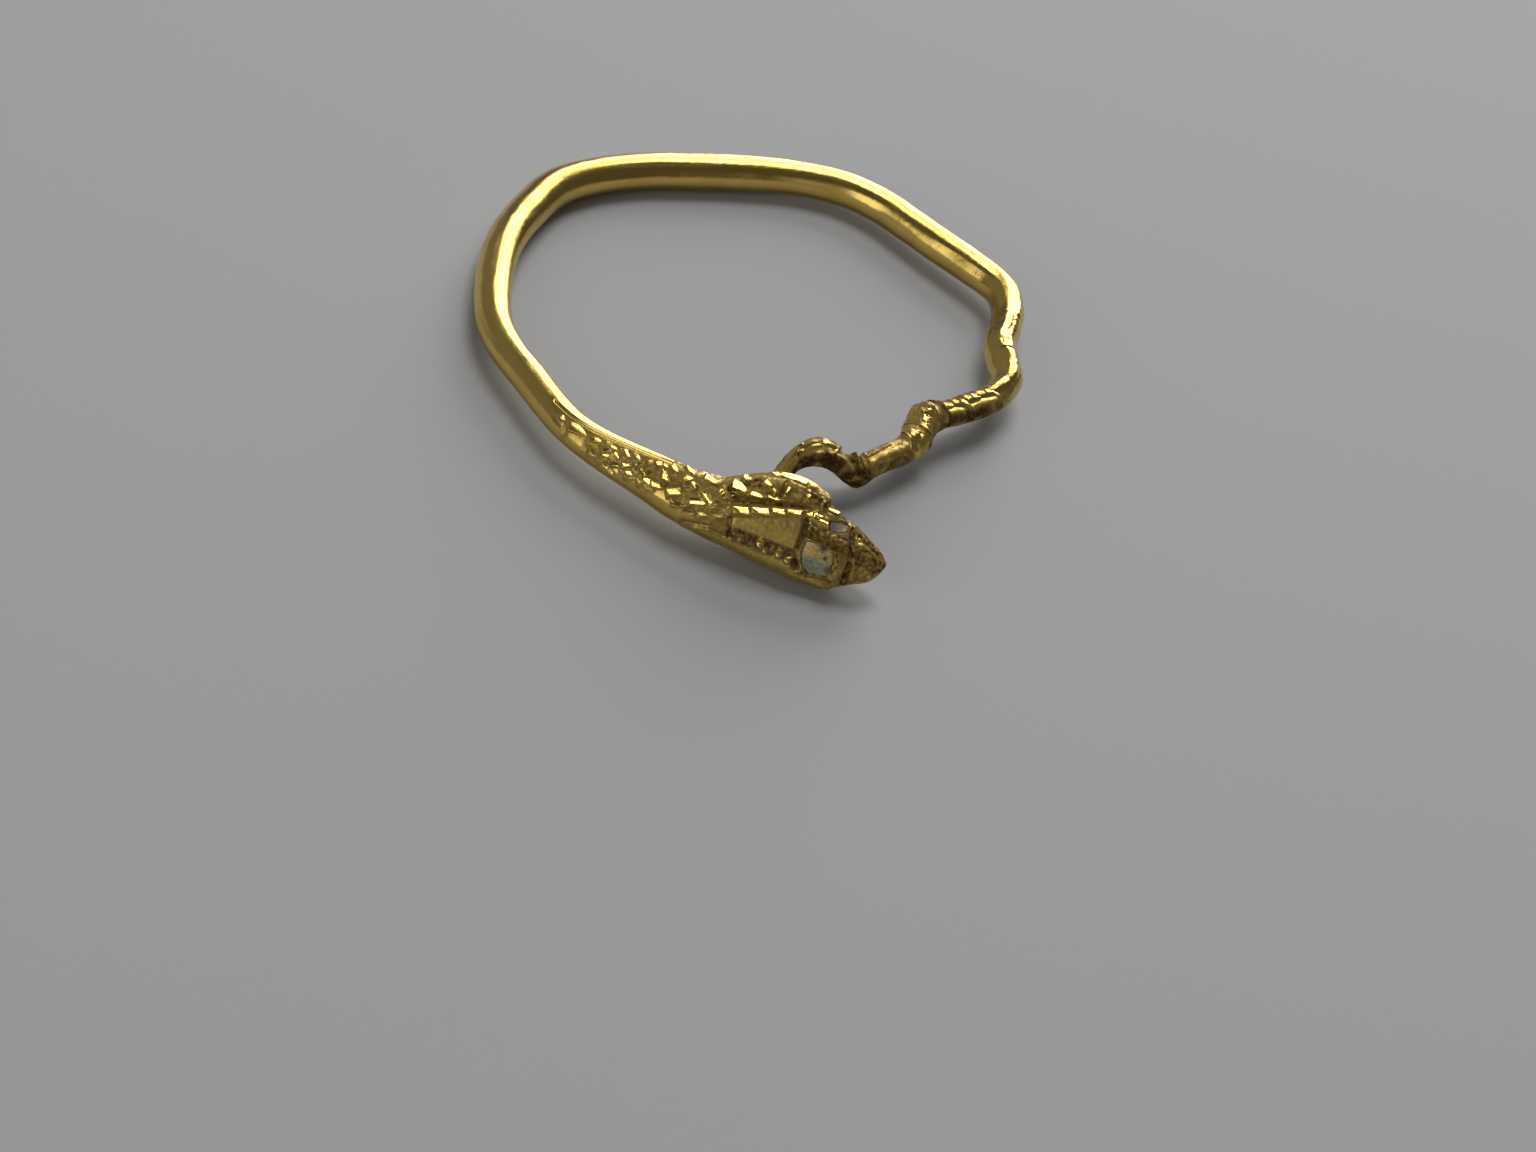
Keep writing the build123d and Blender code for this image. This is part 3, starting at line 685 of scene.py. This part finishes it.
# Where the soil lies thickest, and where shade is painted along the jaw. The lengthwise places are shares of
# the head.
brown_soil_and_shade = (0.075, 0.033, 0.006)
grey_soil = (0.13, 0.09, 0.05)
soiled_and_shaded_places = [
    # name, reach, how much, colour, and the places along and across that it passes
    ("bead groove", 0.32, 1.0, grey_soil, (0.13, -0.60), (0.30, -0.68), (0.49, -0.70)),
    ("back of the panel", 0.30, 0.6, brown_soil_and_shade, (0.04, 0.20), (0.07, -0.25), (0.08, -0.62)),
    ("panel", 0.80, 0.45, brown_soil_and_shade, (0.14, -0.10), (0.50, 0.10)),
    ("above the panel", 0.20, 0.7, brown_soil_and_shade, (0.09, 0.36), (0.30, 0.64), (0.50, 0.84)),
    ("first hollow of the ruff", 0.24, 0.9, brown_soil_and_shade, (0.06, 0.66), (0.16, 0.98)),
    ("second hollow of the ruff", 0.24, 0.9, brown_soil_and_shade, (0.16, 1.04), (0.20, 1.08)),
    ("middle of the ruff", 0.40, 0.7, brown_soil_and_shade, (0.24, 0.98), (0.52, 1.12)),
    ("end of the ruff", 0.36, 1.0, brown_soil_and_shade, (0.48, 1.28), (0.54, 1.22), (0.60, 1.06)),
    ("behind the eyes", 0.22, 0.8, grey_soil, (0.52, 0.36), (0.52, -0.95)),
    ("beside the nose", 0.34, 0.9, brown_soil_and_shade, (0.56, 0.22), (0.66, 0.14), (0.76, 0.12)),
    ("muzzle", 0.16, 1.0, grey_soil, (0.765, 0.60), (0.78, 0.25), (0.80, 0.00), (0.815, -0.30),
     (0.81, -1.10)),
    ("round the upper eye", 0.26, 0.7, grey_soil, (0.64, 0.66), (0.72, 0.48), (0.78, 0.44)),
    ("rim over the snout", 0.40, 1.0, brown_soil_and_shade, (0.64, 1.12), (0.74, 0.90), (0.84, 0.66), (0.94, 0.34)),
    ("round the lower eye", 0.16, 0.9, brown_soil_and_shade, (0.70, -0.10), (0.735, -0.50), (0.70, -0.96),
     (0.56, -1.06)),
    ("snout", 0.50, 0.9, brown_soil_and_shade, (0.83, -0.10), (0.94, -0.14)),
    ("first tongue", 0.20, 0.5, brown_soil_and_shade, (-0.945, 0.02), (-0.925, -0.28)),
    ("second tongue", 0.24, 0.5, brown_soil_and_shade, (-0.785, 0.06), (-0.765, -0.30)),
    ("third tongue", 0.18, 0.5, brown_soil_and_shade, (-0.700, 0.08), (-0.680, -0.26)),
    ("behind the jaw", 0.24, 0.6, brown_soil_and_shade, (-0.13, -0.42), (0.06, -0.20)),
    ("under the jaw", 0.24, 0.6, brown_soil_and_shade, (-0.13, -0.82), (0.01, -0.66), (0.10, -0.74)),
    ("chin", 0.50, 0.7, brown_soil_and_shade, (0.80, -0.90), (0.90, -0.56)),
    ("cheek", 0.40, 0.5, brown_soil_and_shade, (0.56, -1.20), (0.74, -1.10), (0.80, -0.60)),
    # painted shade: brown laid along the head's lower edge, where shade falls
    ("jaw", 0.34, 0.45, brown_soil_and_shade, (0.10, -1.04), (0.40, -1.26), (0.56, -1.30)),
]
beads = [
    # along, across, size, height, how clean
    (0.150, -0.58, 0.14, 0.07, 0.2),
    (0.195, -0.66, 0.13, 0.08, 0.4),
    (0.255, -0.70, 0.10, 0.05, 0.2),
    (0.306, -0.62, 0.17, 0.15, 1.0),
    (0.345, -0.78, 0.11, 0.07, 0.5),
    (0.380, -0.66, 0.10, 0.05, 0.1),
    (0.424, -0.72, 0.17, 0.13, 0.7),
    (0.478, -0.84, 0.14, 0.11, 0.8),
]


def nearness(x, y, path, reach):
    """How near each point lies to a bent line: 1 on it, falling evenly to 0 at the reach."""
    nearest = np.full(np.broadcast(x, y).shape, reach)
    for (x0, y0), (x1, y1) in zip(path, path[1:]):
        long, wide = x1 - x0, y1 - y0
        share = np.clip(((x - x0) * long + (y - y0) * wide) / (long**2 + wide**2), 0, 1)
        nearest = np.minimum(nearest, np.hypot(x - x0 - share * long, y - y0 - share * wide))
    return 1 - nearest / reach


def raised_scale(x, y, turn, length, width, facing):
    """One scale's height over the face, where its facet lies, and how far each point is inside its edge."""
    i = int(np.abs(run[:, 0] - x).argmin())
    j = int(np.abs(across[i, :top_points] - y).argmin())
    step_on = smooth_rings[i + 1, j] - smooth_rings[i, j]
    step_over = smooth_rings[i, j + 1] - smooth_rings[i, j]
    slip = (across[i + 1, j] - across[i, j]) / (across[i, j + 1] - across[i, j])
    sideways = step_over / (across[i, j + 1] - across[i, j])
    onward = (step_on - step_over * slip) / (run[i + 1, 0] - run[i, 0])
    out = np.cross(onward, sideways)
    look = np.array(pointing(*np.radians(facings[facing]))) @ lying_axes
    look /= look @ out / np.linalg.norm(out)
    straight, aside = math.cos(math.radians(turn)), math.sin(math.radians(turn))
    fall_on, fall_over = look @ onward, look @ sideways
    too_steep = max(math.hypot(fall_on, fall_over) / steepest_facet, 1)
    fall_forward = (fall_on * straight + fall_over * aside) / too_steep
    fall_beside = (fall_over * straight - fall_on * aside) / too_steep
    forward = (run - x) * straight + (across - y) * aside
    beside = (across - y) * straight - (run - x) * aside
    top = (abs(fall_forward) * length + abs(fall_beside) * width) / 2
    facet = facet_lift * top - fall_forward * forward - fall_beside * beside
    inside = np.minimum(length / 2 - np.abs(forward), width / 2 - np.abs(beside))
    height = np.minimum(facet, (1 + facet_lift) * top + facet_wall * inside)
    return np.clip(height, 0, tallest_scale), (inside > 0) & (facet > 0) & (facet < tallest_scale), inside


def softened(field, times):
    """A field over the rings, averaged with its neighbours several times."""
    for axis in (0, 1) * times:
        field = (np.roll(field, 1, axis) + 2 * field + np.roll(field, -1, axis)) / 4
    return field


cuts = np.zeros_like(relief)
raising = np.zeros_like(relief)
polished = np.zeros_like(relief)
for x, y, turn, length, width, facing in scales:
    height, facet, inside = raised_scale(x, y, turn, length, width, facing)
    polished = np.where(height > raising, facet, polished)
    raising = np.maximum(raising, height)
    level = np.clip(1 + inside / bed_reach, 0, 1)
    relief += level * (relief.flat[inside.argmax()] - relief)
draw = random.Random(11)
for i in range(small_scales):
    x = draw.uniform(*small_scale_run)
    y = draw.uniform(small_scale_lowest, np.interp(x, small_scale_run, small_scale_highest))
    turn = draw.choice((-small_scale_turn, small_scale_turn)) + draw.uniform(-15, 15)
    size = draw.uniform(*small_scale_size) * np.interp(x, small_scale_run, small_scale_growth)
    facing = draw.choice(("right", "left", "back"))
    height = raised_scale(x, y, turn, 2 * size, 0.7 * size, facing)[0]
    raising = np.maximum(raising, small_scale_lift * height)
face = np.array([between(chased_face, x) for x in run[:, 0]])
within = np.clip((across - face[:, :1]) / lower_fade, 0, 1)
within *= np.clip((face[:, 1:2] - across) / upper_fade, 0, 1)
within *= (run > chased_face[0][0]) & (run < chased_face[-1][0])
relief += (raising - face_sink * within * np.minimum(face[:, 2:] / fully_sunk, 1)) * upper
for name, reach, depth, *path in graved_lines:
    path = [(along * head_length, y) for along, y in path]
    cuts = np.maximum(cuts, depth * nearness(run, across, path, reach))
for name, reach, height, *path in raised_lines:
    path = [(along * head_length, y) for along, y in path]
    relief += height * nearness(run, across, path, reach) * upper
for along, y, size, height, clean in beads:
    apart = np.hypot(run - along * head_length, across - y) / size
    relief += height * np.sqrt(np.clip(1 - apart**2, 0, 1)) * upper
    polished = np.maximum(polished, clean * np.clip(2 - 2 * apart, 0, 1))
relief -= cuts * upper

# The two eye sockets, sunk into the sides of the head. Each is cut with uneven straight sides.
socket_depth = 0.22
socket_wall = 0.05
socket_reach = 1.0
eyes = {
    # along, across, and the corners round that place: their bearings and how far out they lie
    "lower": (
        0.625, -0.56,
        (-143, 0.50), (-102, 0.54), (-43, 0.64), (6, 0.56), (45, 0.61), (93, 0.50), (135, 0.64), (173, 0.50),
    ),
    "upper": (0.690, 0.52, (-156, 0.29), (-90, 0.17), (-8, 0.28), (30, 0.36), (90, 0.25), (158, 0.36)),
}


def eye_edge(corners, bearings):
    """How far an eye's edge lies from its middle at some bearings, on straight sides between the corners."""
    places = [bearing for bearing, reach in corners]
    ahead_of = [np.searchsorted(places, bearing, side="right") for bearing in bearings.ravel()]
    reaches = []
    for bearing, i in zip(bearings.ravel(), ahead_of):
        (from_bearing, from_reach), (to_bearing, to_reach) = corners[i - 1], corners[i % len(corners)]
        span = math.radians((to_bearing - from_bearing) % 360)
        on = math.radians((bearing - from_bearing) % 360)
        reaches.append(math.sin(span) / (math.sin(span - on) / from_reach + math.sin(on) / to_reach))
    return np.array(reaches).reshape(bearings.shape)


for along, y, *corners in eyes.values():
    forward, beside = run - along * head_length, across - y
    apart = np.hypot(forward, beside)
    close = apart < socket_reach
    bearings = np.degrees(np.arctan2(beside, forward))
    edge = np.zeros_like(across)
    edge[close] = eye_edge(corners, bearings[close])
    sink = np.clip((edge - apart) / socket_wall, 0, 1) * upper
    relief = relief * (1 - sink) - socket_depth * sink

# The head is a little uneven all over, and the neck is smoother the further it lies from the head.
smooth_from = -1.5
relief = softened(relief, 1)
unevenness = 0.006 * grain(smooth_rings, size=0.14, seed=41) + 0.008 * grain(smooth_rings, size=0.4, seed=42)
unevenness *= np.clip(1 - run / smooth_from, 0, 1)
skin = raised(smooth_rings, relief + unevenness)

# Soil gathers in every recess, most of all in the places listed above, and rubbing keeps the scales clean;
# along the jaw the soil is painted shade. The plain underside has none but on the ruff's side of it.
clean_depth = 0.012
soiled_depth = 0.092
soil_softening = 60
soiled_side = 0.3
recess = softened(relief, soil_softening) - relief
dirt_and_shade = np.clip((recess - clean_depth) / (soiled_depth - clean_depth), 0, 1)
dirt_and_shade = np.maximum(dirt_and_shade, within * face[:, 2:])
tint_and_painted_light = np.tile(brown_soil_and_shade, dirt_and_shade.shape + (1,))
for name, reach, amount, colour, *path in soiled_and_shaded_places:
    path = [(along * head_length, y) for along, y in path]
    soil_and_shade_cover = np.clip(2 * nearness(run, across, path, reach), 0, 1)
    dirt_and_shade = np.maximum(dirt_and_shade, amount * soil_and_shade_cover)
    tint_and_painted_light += soil_and_shade_cover[:, :, None] * (colour - tint_and_painted_light)
patchy = np.clip(0.85 + 0.8 * grain(skin, size=0.12, seed=3), 0, 1)
dirt_and_shade *= np.maximum(upper, across > soiled_side) * patchy * (1 - polished)
chased_gold = gold_material("chased_gold", polish=0.12, wear=0.20, grain_size=0.04, grain_depth=0.004)
for name, kept in (("chased_neck", slice(neck_stations + 1)), ("snake_head", slice(neck_stations, None))):
    piece = ringed_piece(name, skin[kept], dirt_and_shade[kept], tint_and_painted_light[kept], "snake_body")
    piece.data.materials.append(chased_gold)

# The eyes are filled with a pale paste or stone, cut to the sockets and now worn and stained, and a paler
# patch on the upper one is a painted highlight. What is left lies a little below their rims.
inlay_gap = 0.02
inlay_sink = 0.05
inlay_wear = 0.02
inlay_points = 120
inlay_rings = 50
inlay_roundness = 0.05
inlay_centre = 0.02
rounded_from = 0.8
paste_stains_and_highlight = [
    # eye, along, across, reach, colour
    ("lower", 0.555, -0.30, 0.44, (0.66, 0.50, 0.24)),
    ("lower", 0.610, -0.42, 0.30, (0.62, 0.40, 0.09)),
    ("lower", 0.605, -0.84, 0.46, (0.24, 0.26, 0.19)),
    ("lower", 0.690, -0.36, 0.30, (0.50, 0.40, 0.15)),
    ("lower", 0.645, -0.20, 0.14, (0.10, 0.07, 0.05)),
    ("lower", 0.672, -0.46, 0.10, (0.12, 0.085, 0.06)),
    ("lower", 0.700, -0.76, 0.16, (0.22, 0.19, 0.12)),
    ("upper", 0.670, 0.50, 0.20, (0.30, 0.27, 0.24)),
    # painted highlight: a paler patch on the upper eye
    ("upper", 0.735, 0.58, 0.16, (0.60, 0.42, 0.24)),
]
pale_paste = (0.40, 0.34, 0.20)


def dome(x, y):
    """The smooth head's height above its middle line at some places along and across."""
    heights = []
    for along, side in zip(x / head_length, y):
        outline = head_outline(along)
        heights.append(np.interp(side, outline[0][:top_points][::-1], outline[1][:top_points][::-1]))
    return np.array(heights)


def inlay_material():
    """The worn paste: stained in patches, one of them a painted highlight, speckled, dull and finely pitted.
    """
    material = bpy.data.materials.new("worn_paste")
    material.use_nodes = True
    specks = mottle(material, lumps=12.0, detail=6.0)
    shading = {"Value": specks, "From Min": 0.3, "From Max": 0.7, "To Min": 0.6, "To Max": 1.35}
    shade = node(material, "MapRange", shading)["Result"]
    stain_and_highlight = node(material, "Attribute", {}, attribute_name="tint_and_painted_light")["Color"]
    speckled = node(material, "VectorMath", {"Vector": stain_and_highlight, "Scale": shade}, operation="SCALE")["Vector"]
    bump = node(material, "Bump", {"Height": specks, "Distance": 0.01 * millimetre})["Normal"]
    feed(
        material.node_tree.nodes["Principled BSDF"],
        {"Base Color": speckled, "Roughness": 0.45, "Normal": bump},
    )
    return material


worn_paste = inlay_material()
side_way = np.array((-math.sin(math.radians(heading)), math.cos(math.radians(heading)), 0.0))
roll = math.radians(head_roll)
upward_way = np.array((0.0, 0.0, 1.0))
over_way = upward_way * math.sin(roll) - side_way * math.cos(roll)
across_way = upward_way * math.cos(roll) + side_way * math.sin(roll)
bearings = np.linspace(-180, 180, inlay_points, endpoint=False)
# The rings run from the middle of the worn top out to its edge, down the side and in under it.
inlay_steps = [(share, False) for share in np.linspace(inlay_centre, 1.0, inlay_rings)]
inlay_steps += [(1.0, True), (inlay_centre, True)]
for name, (along, y, *corners) in eyes.items():
    reach = eye_edge(corners, bearings) - inlay_gap
    forward, sideways = reach * np.cos(np.radians(bearings)), reach * np.sin(np.radians(bearings))
    rings, tints = [], []
    for share, under in inlay_steps:
        x, side = along * head_length + forward * share, y + sideways * share
        rounding = inlay_roundness * (max(share - rounded_from, 0) / (1 - rounded_from)) ** 2
        height = dome(x, side) - (socket_depth - inlay_gap if under else inlay_sink + rounding)
        rings.append(root + x[:, None] * ahead + side[:, None] * across_way + height[:, None] * over_way)
        tint = np.tile(pale_paste, (inlay_points, 1))
        for eye, place, off, wide, colour in paste_stains_and_highlight:
            if eye == name:
                apart = np.hypot(x - place * head_length, side - off)
                near = np.clip(1.6 * (1 - apart / wide), 0, 1)[:, None]
                tint = tint * (1 - near) + near * colour
        tints.append(tint)
    rings = np.array(rings)
    worn = inlay_wear * grain(rings, size=0.3, seed=8)
    worn[inlay_rings:] = 0
    rings += worn[:, :, None] * over_way
    clean = np.zeros(rings.shape[:2])
    inlay = ringed_piece("inlay_" + name, rings, clean, np.array(tints), "eye_inlay_" + name)
    inlay.data.materials.append(worn_paste)

# The tail is the wire drawn thinner, bent to and fro and dressed with a file and a small hammer. It is
# one piece with the hoop, and it keeps flats, creases and a crushed, grainy bend.
tail_stations = 620
tail_points = 96
file_flats = [
    # azimuth, side of the wire, reach along in degrees, depth as a share of the half thickness
    (-76.5, 96.0, 3.2, 0.18),
    (-75.0, 40.0, 5.0, 0.22),
    (-70.5, 96.0, 3.6, 0.22),
    (-68.5, 42.0, 5.0, 0.26),
    (-67.0, 134.0, 5.0, 0.20),
    (-64.5, 95.0, 3.2, 0.20),
    (-61.5, 30.0, 3.4, 0.24),
    (-58.0, 94.0, 1.6, 0.20),
    (-48.5, 58.0, 8.0, 0.20),
    (-48.0, 104.0, 8.5, 0.20),
    (-47.0, 12.0, 8.0, 0.14),
    (-35.6, 94.0, 2.2, 0.30),
    (-34.0, 45.0, 2.2, 0.20),
    (-29.2, 74.0, 3.0, 0.18),
    (-25.6, 94.0, 2.8, 0.20),
    (-17.6, 93.0, 2.6, 0.20),
    (-13.2, 92.0, 2.4, 0.20),
    (-9.0, 94.0, 2.4, 0.20),
    (-5.0, 92.0, 2.4, 0.18),
    (-16.3, 30.0, 3.8, 0.24),
    (-7.8, 30.0, 4.4, 0.24),
    (0.5, 90.0, 3.6, 0.14),
    (6.5, 82.0, 4.0, 0.12),
    (13.0, 78.0, 4.0, 0.10),
    (19.0, 102.0, 3.5, 0.12),
    (25.5, 92.0, 4.0, 0.07),
]
creases = [
    # azimuth, lowest and highest side of the wire, half width in degrees, depth, lean over the lean's reach
    (-73.6, 20.0, 110.0, 0.6, 0.08, 1.5),
    (-67.2, 20.0, 100.0, 0.6, 0.08, -2.0),
    (-63.0, 30.0, 130.0, 0.6, 0.08, 3.0),
    (-58.6, -20.0, 140.0, 0.6, 0.12, 1.0),
    (-57.2, 10.0, 110.0, 0.5, 0.11, -1.0),
    (-55.4, 20.0, 120.0, 0.5, 0.09, 0.5),
    (-53.4, 50.0, 130.0, 0.5, 0.07, 0.5),
    (-37.8, 30.0, 140.0, 0.7, 0.09, 1.0),
    (-32.0, 20.0, 160.0, 0.7, 0.11, -1.0),
    (-20.6, -20.0, 200.0, 0.8, 0.15, 0.5),
    (-19.2, 20.0, 150.0, 0.5, 0.08, 0.5),
    (-12.2, -30.0, 76.0, 0.9, 0.14, 0.5),
    (-3.4, -10.0, 72.0, 0.6, 0.08, 0.5),
    (15.5, 60.0, 130.0, 0.5, 0.04, 0.5),
]
file_scratches = [
    # azimuth from and to, side of the wire from and to, half width in degrees, depth
    (-78.0, -66.0, 58.0, 72.0, 9.0, 0.07),
    (-75.5, -62.5, 86.0, 80.0, 7.0, 0.07),
    (-72.0, -60.5, 34.0, 52.0, 10.0, 0.06),
    (-69.0, -60.5, 116.0, 112.0, 9.0, 0.06),
    (-54.0, -43.0, 92.0, 100.0, 8.0, 0.05),
    (-51.0, -40.0, 40.0, 30.0, 9.0, 0.04),
]
rough_stretches = [
    # azimuth, height of the fine grain and of the coarse grain, soil on the outer side, on top and behind;
    # the outer and behind soil also darkens the underside as painted shade
    (-82.0, 0.002, 0.006, 1.0, 0.3, 0.8),
    (-76.0, 0.001, 0.003, 1.0, 0.0, 0.8),
    (-70.0, 0.001, 0.003, 1.0, 0.0, 0.8),
    (-62.0, 0.002, 0.005, 1.0, 0.2, 0.9),
    (-59.0, 0.004, 0.014, 1.0, 1.0, 0.9),
    (-57.0, 0.006, 0.020, 1.0, 0.8, 0.7),
    (-52.0, 0.012, 0.024, 0.8, 0.5, 0.5),
    (-40.0, 0.010, 0.018, 0.8, 0.5, 0.5),
    (-37.5, 0.004, 0.010, 0.6, 0.2, 0.5),
    (-36.0, 0.001, 0.003, 0.3, 0.0, 0.3),
    (-33.0, 0.004, 0.010, 0.3, 0.0, 0.3),
    (-31.8, 0.012, 0.030, 0.8, 0.5, 0.6),
    (-30.0, 0.022, 0.036, 0.6, 0.1, 0.3),
    (-24.0, 0.024, 0.040, 0.7, 0.0, 0.3),
    (-21.5, 0.010, 0.024, 0.8, 0.6, 0.8),
    (-20.5, 0.006, 0.020, 1.0, 1.0, 1.0),
    (-19.0, 0.006, 0.018, 0.9, 0.3, 0.7),
    (-17.0, 0.002, 0.007, 0.9, 0.0, 0.4),
    (-12.2, 0.002, 0.007, 1.0, 0.1, 0.4),
    (-8.0, 0.002, 0.007, 0.9, 0.0, 0.4),
    (-3.5, 0.002, 0.007, 0.8, 0.0, 0.3),
    (0.0, 0.002, 0.008, 0.2, 0.0, 0.2),
    (10.0, 0.004, 0.012, 0.1, 0.0, 0.1),
    (22.0, 0.004, 0.010, 0.0, 0.0, 0.0),
    (33.0, 0.002, 0.004, 0.0, 0.0, 0.0),
]
# The sides of the wire where the soil of each of those columns is full, and the columns. Under the wire,
# between the sides 220 and 320, the soil is painted shade.
soiled_and_shaded_sides = (35.0, 75.0, 115.0, 220.0, 320.0)
soil_and_shade_columns = [2, 3, 4, 4, 2]
soil_end = (15.0, 25.0)
tail_clean_depth = 0.01
tail_soiled_depth = 0.06
tail_soil_softening = 30
crease_fade = 20.0
lean_reach = 60.0
# A row of notches that a file has left across the top. They fade out towards their first and last sides.
file_notches = 8
first_notch = -16.5
notch_step = 1.95
notch_shift = 0.3
notch_width = 0.55
notch_depth = (0.04, 0.07)
notch_sides = (84.0, 92.0, 128.0, 140.0)
notch_middle = 100.0
notch_lean = 1.5
azimuths = np.linspace(tail_bends[0][0], hoop_start, tail_stations)
angles = np.linspace(0, 2 * math.pi, tail_points, endpoint=False)
middles, halves, slants = wire_middles(azimuths)
relief = np.zeros((tail_stations, tail_points))
for place, side, reach, depth in file_flats:
    lengthwise = np.clip(1 - ((azimuths - place) / reach) ** 2, 0, 1) ** 0.5
    relief = np.minimum(relief, -flat_cut(halves, angles - math.radians(side), depth * lengthwise))
sides = np.degrees(angles)[None, :]
for place, low, high, reach, depth, lean in creases:
    drift = place + lean * (sides - (low + high) / 2) / lean_reach
    cut = np.clip(1 - np.abs(azimuths[:, None] - drift) / reach, 0, 1)
    relief -= depth * cut * np.clip(np.minimum(sides - low, high - sides) / crease_fade, 0, 1)
for start, end, low, high, reach, depth in file_scratches:
    line = np.interp(azimuths, (start, end), (low, high))[:, None]
    ends = np.clip(np.minimum(azimuths - start, end - azimuths), 0, 1)[:, None]
    relief -= depth * ends * np.clip(1 - np.abs(sides - line) / reach, 0, 1)
for i in range(file_notches):
    place = first_notch + notch_step * i + draw.uniform(-notch_shift, notch_shift)
    drift = place + notch_lean * (sides - notch_middle) / lean_reach
    cut = np.clip(1 - np.abs(azimuths[:, None] - drift) / notch_width, 0, 1)
    relief -= draw.uniform(*notch_depth) * cut * np.interp(sides, notch_sides, (0, 1, 1, 0))
reaches = halves[:, None]
rings = rings_about(middles, azimuths + 90, slants, reaches * np.cos(angles), reaches * np.sin(angles))
rough = np.array([between(rough_stretches, azimuth) for azimuth in azimuths])
relief += rough[:, :1] * grain(rings, size=0.07, seed=21) + rough[:, 1:2] * grain(rings, size=0.2, seed=22)
relief[-1] = 0
spread = relief
for i in range(tail_soil_softening):
    spread = (np.roll(spread, 1, 1) + 2 * spread + np.roll(spread, -1, 1)) / 4
    spread[1:-1] = (spread[:-2] + 2 * spread[1:-1] + spread[2:]) / 4
dirt_and_shade = np.clip((spread - relief - tail_clean_depth) / (tail_soiled_depth - tail_clean_depth), 0, 1)
dirt_and_shade *= np.interp(azimuths, soil_end, (1, 0))[:, None]
# The soil laid on by side is partly dirt and partly painted shade, darkening the wire's underside.
soil_and_shade_cover = np.array([np.interp(sides[0], soiled_and_shaded_sides, row[soil_and_shade_columns]) for row in rough])
dirt_and_shade = np.maximum(dirt_and_shade, soil_and_shade_cover * np.clip(1.0 + 1.2 * grain(rings, size=0.3, seed=23), 0, 1))
tail = ringed_piece("bent_tail", raised(rings, relief), dirt_and_shade, brown_soil_and_shade, "snake_body")
tail.data.materials.append(
    gold_material("filed_gold", polish=0.10, wear=0.20, grain_size=0.03, grain_depth=0.002)
)
